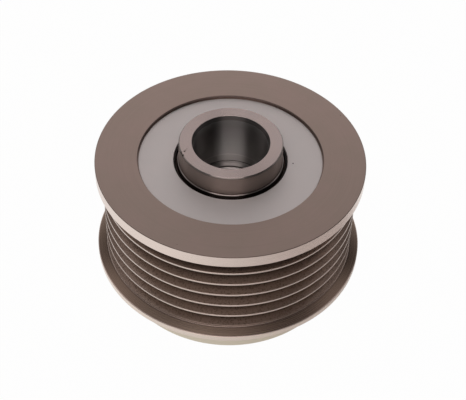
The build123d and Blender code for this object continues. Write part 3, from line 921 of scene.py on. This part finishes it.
def hub_outline():
    """Half section of the hub, with close points down the threaded stretch of its bore."""
    outline = rounded_outline([
        (SOCKET_ROOT_RADIUS + SOCKET_MOUTH_CHAMFER, HUB_FRONT, TOOL_EDGE),
        (HUB_RADIUS - HUB_FRONT_CHAMFER, HUB_FRONT, TOOL_EDGE),
        (HUB_RADIUS, HUB_FRONT + HUB_FRONT_CHAMFER, TOOL_EDGE),
        (HUB_RADIUS, LEAD_FOOT - (HUB_RADIUS - LEAD_RADIUS), TOOL_EDGE),
        (LEAD_RADIUS, LEAD_FOOT, TOOL_EDGE),
        (LEAD_RADIUS, SHOULDER_HEIGHT - SHOULDER_CHAMFER, TOOL_EDGE),
        (LEAD_RADIUS - SHOULDER_CHAMFER, SHOULDER_HEIGHT, TOOL_EDGE),
        (COLLAR_RADIUS, SHOULDER_HEIGHT, COLLAR_ROOT),
        (COLLAR_RADIUS, COLLAR_TOP - COLLAR_EDGE, TOOL_EDGE),
        (COLLAR_RADIUS - COLLAR_EDGE, COLLAR_TOP, TOOL_EDGE),
        (PILOT_BORE_RADIUS + BORE_LEAD_STEP, COLLAR_TOP, TOOL_EDGE),
        (PILOT_BORE_RADIUS, COLLAR_TOP - BORE_LEAD_HEIGHT, TOOL_EDGE),
        (PILOT_BORE_RADIUS, PILOT_BORE_FLOOR, TOOL_EDGE),
        (THREAD_MINOR_RADIUS + THREAD_ENTRY_CHAMFER, PILOT_BORE_FLOOR, TOOL_EDGE),
        (THREAD_MINOR_RADIUS, THREAD_TOP, 0),
    ])
    count = int((THREAD_TOP - SOCKET_FLOOR) * THREAD_POINTS_A_TURN / THREAD_PITCH)
    step = (THREAD_TOP - SOCKET_FLOOR) / count
    for number in range(1, count + 1):
        outline.append(Vector((THREAD_MINOR_RADIUS, THREAD_TOP - number * step)))
    outline.append(Vector((SOCKET_ROOT_RADIUS, SOCKET_FLOOR)))
    outline.append(Vector((SOCKET_ROOT_RADIUS, HUB_FRONT + SOCKET_MOUTH_CHAMFER)))
    return outline


def hub_share(point, label):
    """How far the teeth and the thread show at a point of the hub's outline."""
    if label == "teeth":
        on_socket = abs(point.x - SOCKET_ROOT_RADIUS) < TOOL_EDGE / 2 and point.y < PILOT_BORE_FLOOR
        return 1.0 if on_socket else 0.0
    if point.x > THREAD_MINOR_RADIUS + TOOL_EDGE / 2 or point.y < SOCKET_FLOOR:
        return 0.0
    run_in = min(THREAD_TOP - point.y, point.y - SOCKET_FLOOR) / (THREAD_PITCH / 2)
    return max(0.0, min(1.0, run_in))


def shield_outline():
    """Half section of the pressed shield with its skirt."""
    inner_face = SHIELD_FACE - SHIELD_THICKNESS
    return rounded_outline([
        (SHIELD_HOLE_RADIUS, inner_face, TOOL_EDGE),
        (RIM_BORE_RADIUS - SHIELD_THICKNESS, inner_face, TOOL_EDGE),
        (RIM_BORE_RADIUS - SHIELD_THICKNESS, SHIELD_SKIRT_FOOT, TOOL_EDGE),
        (RIM_BORE_RADIUS, SHIELD_SKIRT_FOOT, TOOL_EDGE),
        (RIM_BORE_RADIUS, SHIELD_FACE, SHIELD_BEND),
        (SHIELD_HOLE_RADIUS, SHIELD_FACE, SHIELD_HOLE_EDGE),
    ])


def lip_outline():
    """Half section of the rubber lip under the shield."""
    top = SHIELD_FACE - SHIELD_THICKNESS
    lip_radius = HUB_RADIUS + LIP_CLEARANCE
    return rounded_outline([
        (lip_radius, top, 0),
        (lip_radius, LIP_FOOT, TOOL_EDGE),
        (lip_radius + LIP_TIP_THICKNESS, LIP_FOOT, TOOL_EDGE),
        (LIP_RING_RADIUS, top - LIP_TIP_THICKNESS, TOOL_EDGE),
        (LIP_RING_RADIUS, top, 0),
    ])


def race_groove(race_radius, land_radius, middle, rising):
    """Corners along a ball groove, from the lower land to the upper or the other way."""
    inward = 1 if race_radius > land_radius else -1
    centre_radius = race_radius - inward * RACE_GROOVE_RADIUS
    half = acos(abs(land_radius - centre_radius) / RACE_GROOVE_RADIUS)
    if not rising:
        half = -half
    corners = []
    for step in range(RACE_GROOVE_STEPS + 1):
        angle = -half + 2 * half * step / RACE_GROOVE_STEPS
        across = centre_radius + inward * RACE_GROOVE_RADIUS * cos(angle)
        corners.append((across, middle + RACE_GROOVE_RADIUS * sin(angle), 0))
    return corners


def inner_ring_outline(foot):
    """Half section of a bearing's inner ring, with its ball groove."""
    top = foot + BEARING_WIDTH
    race_radius = BALL_CIRCLE_RADIUS - BALL_RADIUS - RACE_CLEARANCE
    corners = [
        (HUB_RADIUS, foot + BEARING_CHAMFER, TOOL_EDGE),
        (HUB_RADIUS + BEARING_CHAMFER, foot, TOOL_EDGE),
        (INNER_LAND_RADIUS, foot, TOOL_EDGE),
    ]
    corners += race_groove(race_radius, INNER_LAND_RADIUS, foot + BEARING_WIDTH / 2, True)
    corners += [
        (INNER_LAND_RADIUS, top, TOOL_EDGE),
        (HUB_RADIUS + BEARING_CHAMFER, top, TOOL_EDGE),
        (HUB_RADIUS, top - BEARING_CHAMFER, TOOL_EDGE),
    ]
    return rounded_outline(corners)


def pressed_outside(foot, top):
    """Corners up the outside of a ring that is pressed into the rim."""
    return [
        (RIM_BORE_RADIUS - BEARING_CHAMFER, foot, TOOL_EDGE),
        (RIM_BORE_RADIUS, foot + BEARING_CHAMFER, TOOL_EDGE),
        (RIM_BORE_RADIUS, top - BEARING_CHAMFER, TOOL_EDGE),
        (RIM_BORE_RADIUS - BEARING_CHAMFER, top, TOOL_EDGE),
    ]


def outer_ring_outline(foot):
    """Half section of a bearing's outer ring, with its ball groove and seal seats."""
    top = foot + BEARING_WIDTH
    race_radius = BALL_CIRCLE_RADIUS + BALL_RADIUS + RACE_CLEARANCE
    seat_depth = SEAL_INSET + SEAL_THICKNESS
    corners = [(SEAL_SEAT_RADIUS, foot, TOOL_EDGE)] + pressed_outside(foot, top)
    corners += [
        (SEAL_SEAT_RADIUS, top, TOOL_EDGE),
        (SEAL_SEAT_RADIUS, top - seat_depth, 0),
        (OUTER_LAND_RADIUS, top - seat_depth, TOOL_EDGE),
    ]
    corners += race_groove(race_radius, OUTER_LAND_RADIUS, foot + BEARING_WIDTH / 2, False)
    corners += [
        (OUTER_LAND_RADIUS, foot + seat_depth, TOOL_EDGE),
        (SEAL_SEAT_RADIUS, foot + seat_depth, 0),
    ]
    return rounded_outline(corners)


def seal_outline(face, outward):
    """Half section of a rubber seal disc with a beaded rim and a thin lip, outward being 1 or -1."""
    bore_radius = INNER_LAND_RADIUS + SEAL_LIP_CLEARANCE
    outer_face = face - outward * SEAL_INSET
    web_face = outer_face - outward * SEAL_WEB_INSET
    inner_face = outer_face - outward * SEAL_THICKNESS
    return rounded_outline([
        (bore_radius, inner_face, SEAL_EDGE),
        (SEAL_SEAT_RADIUS, inner_face, TOOL_EDGE),
        (SEAL_SEAT_RADIUS, outer_face, SEAL_BEAD_EDGE),
        (SEAL_SEAT_RADIUS - SEAL_BEAD_WIDTH, outer_face, SEAL_EDGE),
        (SEAL_SEAT_RADIUS - SEAL_BEAD_FOOT_WIDTH, web_face, SEAL_EDGE),
        (bore_radius + SEAL_LIP_FOOT_WIDTH, web_face, SEAL_EDGE),
        (bore_radius + SEAL_LIP_WIDTH, outer_face, SEAL_EDGE),
        (bore_radius + SEAL_LIP_BEVEL_WIDTH, outer_face, SEAL_EDGE),
        (bore_radius, outer_face - outward * SEAL_LIP_BEVEL_HEIGHT, SEAL_EDGE),
    ])


def race_outline():
    """Half section of the clutch's plain outer race."""
    corners = [(CLUTCH_RACE_BORE_RADIUS, CLUTCH_FOOT, TOOL_EDGE)]
    corners += pressed_outside(CLUTCH_FOOT, CLUTCH_TOP)
    corners.append((CLUTCH_RACE_BORE_RADIUS, CLUTCH_TOP, TOOL_EDGE))
    return rounded_outline(corners)


def roller_form(half_length):
    """One roller with rounded ends, standing on its own axis."""
    outline = rounded_outline([
        (0, -half_length, 0),
        (ROLLER_RADIUS, -half_length, ROLLER_EDGE),
        (ROLLER_RADIUS, half_length, ROLLER_EDGE),
        (0, half_length, 0),
    ])
    return turned_form("roller", outline, FINISH["ball_steel"], ROLLER_STEPS_ROUND)


def ball_form():
    """One ball at the origin."""
    shape = bmesh.new()
    bmesh.ops.create_icosphere(shape, subdivisions=BALL_SUBDIVISIONS, radius=BALL_RADIUS)
    mesh = bpy.data.meshes.new("ball")
    shape.to_mesh(mesh)
    shape.free()
    return new_object("ball", mesh)


# Pieces

turned("rim_body", "pulley_rim", rim_outline(), steps=FINE_STEPS_ROUND)
turned(
    "hub_sleeve",
    "hub_shaft",
    hub_outline(),
    steps=SOCKET_TEETH * STEPS_A_TOOTH,
    teeth=SOCKET_TEETH,
    share=hub_share,
)
turned("shield_disc", "rear_shield", shield_outline(), steps=FINE_STEPS_ROUND)
turned("seal_lip_ring", "rear_seal_lip", lip_outline())
turned("clutch_race", "clutch_outer_race", race_outline())
ringed(
    "clutch_roller_set",
    "clutch_rollers",
    roller_form((ROLLER_TOP - ROLLER_FOOT) / 2),
    ROLLER_COUNT,
    ROLLER_CIRCLE_RADIUS,
    (ROLLER_FOOT + ROLLER_TOP) / 2,
    ROLLER_START_ANGLE,
)
for end, outward in (("front", -1), ("rear", 1)):
    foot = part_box(end + "_bearing_inner_ring")[0].z
    outer_face = foot if outward < 0 else foot + BEARING_WIDTH
    turned(end + "_inner_ring", end + "_bearing_inner_ring", inner_ring_outline(foot))
    turned(end + "_outer_ring", end + "_bearing_outer_ring", outer_ring_outline(foot))
    turned(end + "_seal_disc", end + "_bearing_seal", seal_outline(outer_face, outward))
    ringed(
        end + "_ball_set",
        end + "_bearing_balls",
        ball_form(),
        BALL_COUNT,
        BALL_CIRCLE_RADIUS,
        foot + BEARING_WIDTH / 2,
    )

# The milled and moulded pieces keep their CAD shape and get their finish
CLUTCH_INSIDE = ["clutch_cam_ring", "clutch_cage", "clutch_springs"]
for node in CLUTCH_INSIDE + ["front_bearing_cage", "rear_bearing_cage"]:
    piece = frame["nodes"][node]
    for slot_number in range(len(piece.data.materials)):
        piece.data.materials[slot_number] = FINISH[SLOT_OF[node]]


# Stage

def make_floor():
    """Wide pale floor that shows white to the camera and keeps a faint shadow.

    Metal mirrors it as white too, but for a darker corner in front on the right.
    """
    mesh = bpy.data.meshes.new("floor")
    signs = [(-1, -1), (1, -1), (1, 1), (-1, 1)]
    corners = [(x * FLOOR_REACH, y * FLOOR_REACH, 0) for x, y in signs]
    mesh.from_pydata(corners, [], [(0, 1, 2, 3)])
    floor = new_object("floor", mesh)
    finish = bpy.data.materials.new("white_paper")
    finish.use_nodes = True
    tree = finish.node_tree
    tree.nodes.clear()
    path = add_node(tree, "ShaderNodeLightPath").outputs
    place = add_node(tree, "ShaderNodeTexCoord").outputs["Object"]
    parts = add_node(tree, "ShaderNodeSeparateXYZ", {0: place}).outputs
    dark_corner = both(
        tree,
        remap(tree, parts["X"], -45 * MM, 50 * MM, 0.0, 1.0),
        remap(tree, parts["Y"], -5 * MM, 20 * MM, 1.0, 0.0),
    )
    mirrored = remap(tree, dark_corner, 0.0, 1.0, FLOOR_WHITE, DARK_CORNER_LEVEL)
    mirrored = calculate(tree, "MULTIPLY", mirrored, path["Is Glossy Ray"])
    seen = calculate(tree, "MAXIMUM", path["Is Camera Ray"], path["Is Transmission Ray"])
    share = calculate(tree, "MAXIMUM", calculate(tree, "MULTIPLY", seen, FLOOR_WHITE), mirrored)
    paper = add_node(tree, "ShaderNodeBsdfDiffuse", {"Color": FLOOR_PAPER})
    glow = add_node(tree, "ShaderNodeEmission", {"Color": WHITE, "Strength": 1.0})
    mix = add_node(tree, "ShaderNodeMixShader", {0: share, 1: paper.outputs[0], 2: glow.outputs[0]})
    add_node(tree, "ShaderNodeOutputMaterial", {0: mix.outputs[0]})
    mesh.materials.append(finish)


def make_world():
    """White walls and a dim warm ceiling with paler parts.

    They are a sky behind the object, a faint glow on both sides of it and a light panel in front.
    X, Y and Z are those of the unit vector that points at a spot of the sky.
    """
    world = bpy.data.worlds.new("studio")
    bpy.context.scene.world = world
    world.use_nodes = True
    tree = world.node_tree
    tree.nodes.clear()
    place = add_node(tree, "ShaderNodeTexCoord").outputs["Generated"]
    parts = add_node(tree, "ShaderNodeSeparateXYZ", {0: place}).outputs
    sideways = calculate(tree, "ABSOLUTE", parts["X"])
    level = remap(tree, sideways, 0.45, 0.75, CEILING_MIDDLE_LEVEL, CEILING_SIDE_LEVEL)
    behind = both(
        tree,
        remap(tree, parts["Y"], 0.5, 0.85, 0.0, SKY_BEHIND_LEVEL),
        remap(tree, sideways, 0.3, 0.8, 1.0, 0.4),
    )
    level = calculate(tree, "ADD", behind, level)
    level = calculate(tree, "MULTIPLY_ADD", parts["X"], CEILING_FALL_TO_RIGHT, level)
    # The panel is a wedge that opens towards the front, turned a little to the left
    off_panel = calculate(tree, "MULTIPLY_ADD", parts["Y"], PANEL_TURN, parts["X"])
    off_panel = calculate(tree, "ABSOLUTE", off_panel)
    aside = calculate(tree, "MULTIPLY_ADD", parts["Y"], PANEL_SPREAD, off_panel)
    panel = both(
        tree,
        remap(tree, aside, -0.04, 0.0, 1.0, 0.0),
        between(tree, parts["Z"], PANEL_FOOT, PANEL_TOP, 0.03),
    )
    level = calculate(tree, "MULTIPLY_ADD", panel, PANEL_LEVEL, level)
    off_centre = remap(tree, sideways, 0.35, 0.45, 0.0, 1.0)
    beside = both(tree, off_centre, between(tree, parts["Y"], 0.08, 0.4, 0.08))
    level = calculate(tree, "MULTIPLY_ADD", beside, SIDE_GLOW_LEVEL, level)
    ceiling = add_node(tree, "ShaderNodeBackground", {"Color": CEILING_COLOUR, "Strength": level})
    white = add_node(tree, "ShaderNodeBackground", {"Color": WHITE, "Strength": 1.0})
    path = add_node(tree, "ShaderNodeLightPath").outputs
    wall = remap(tree, parts["Z"], 0.1, 0.28, 1.0, 0.0)
    wall = calculate(tree, "MAXIMUM", wall, path["Is Camera Ray"])
    mix = add_node(tree, "ShaderNodeMixShader", {0: wall, 1: ceiling.outputs[0], 2: white.outputs[0]})
    add_node(tree, "ShaderNodeOutputWorld", {0: mix.outputs[0]})


def make_lamp(name, place, target, size, watts):
    """Square soft lamp that faces a point."""
    lamp = bpy.data.lights.new(name, "AREA")
    lamp.shape = "SQUARE"
    lamp.size = size
    lamp.energy = watts
    holder = new_object(name, lamp)
    holder.location = place
    holder.rotation_euler = (Vector(target) - Vector(place)).to_track_quat("-Z", "Y").to_euler()


def make_camera():
    """Camera at the place and angle that the photograph's circles give."""
    data = bpy.data.cameras.new("camera")
    data.sensor_width = SENSOR_WIDTH
    data.lens = SENSOR_WIDTH * FOCAL_PIXELS / PHOTO_WIDTH
    data.clip_start = CLIP_START
    camera = new_object("camera", data)
    ahead = Vector((
        sin(CAMERA_YAW) * cos(CAMERA_PITCH),
        cos(CAMERA_YAW) * cos(CAMERA_PITCH),
        -sin(CAMERA_PITCH),
    ))
    level_right = Vector((cos(CAMERA_YAW), -sin(CAMERA_YAW), 0))
    level_down = ahead.cross(level_right)
    right = level_right * cos(CAMERA_ROLL) + level_down * sin(CAMERA_ROLL)
    down = level_down * cos(CAMERA_ROLL) - level_right * sin(CAMERA_ROLL)
    turn = Matrix((right, -down, -ahead)).transposed()
    stand = Matrix.Translation((0, -CAMERA_BACK, RIM_HEIGHT + CAMERA_ABOVE_RIM))
    camera.matrix_world = stand @ turn.to_4x4()
    bpy.context.scene.camera = camera


make_floor()
make_world()
make_lamp("key", LAMP_PLACE, (0, 0, RIM_HEIGHT / 2), LAMP_SIZE, LAMP_WATTS)
make_camera()
bpy.context.scene.view_settings.view_transform = "Standard"
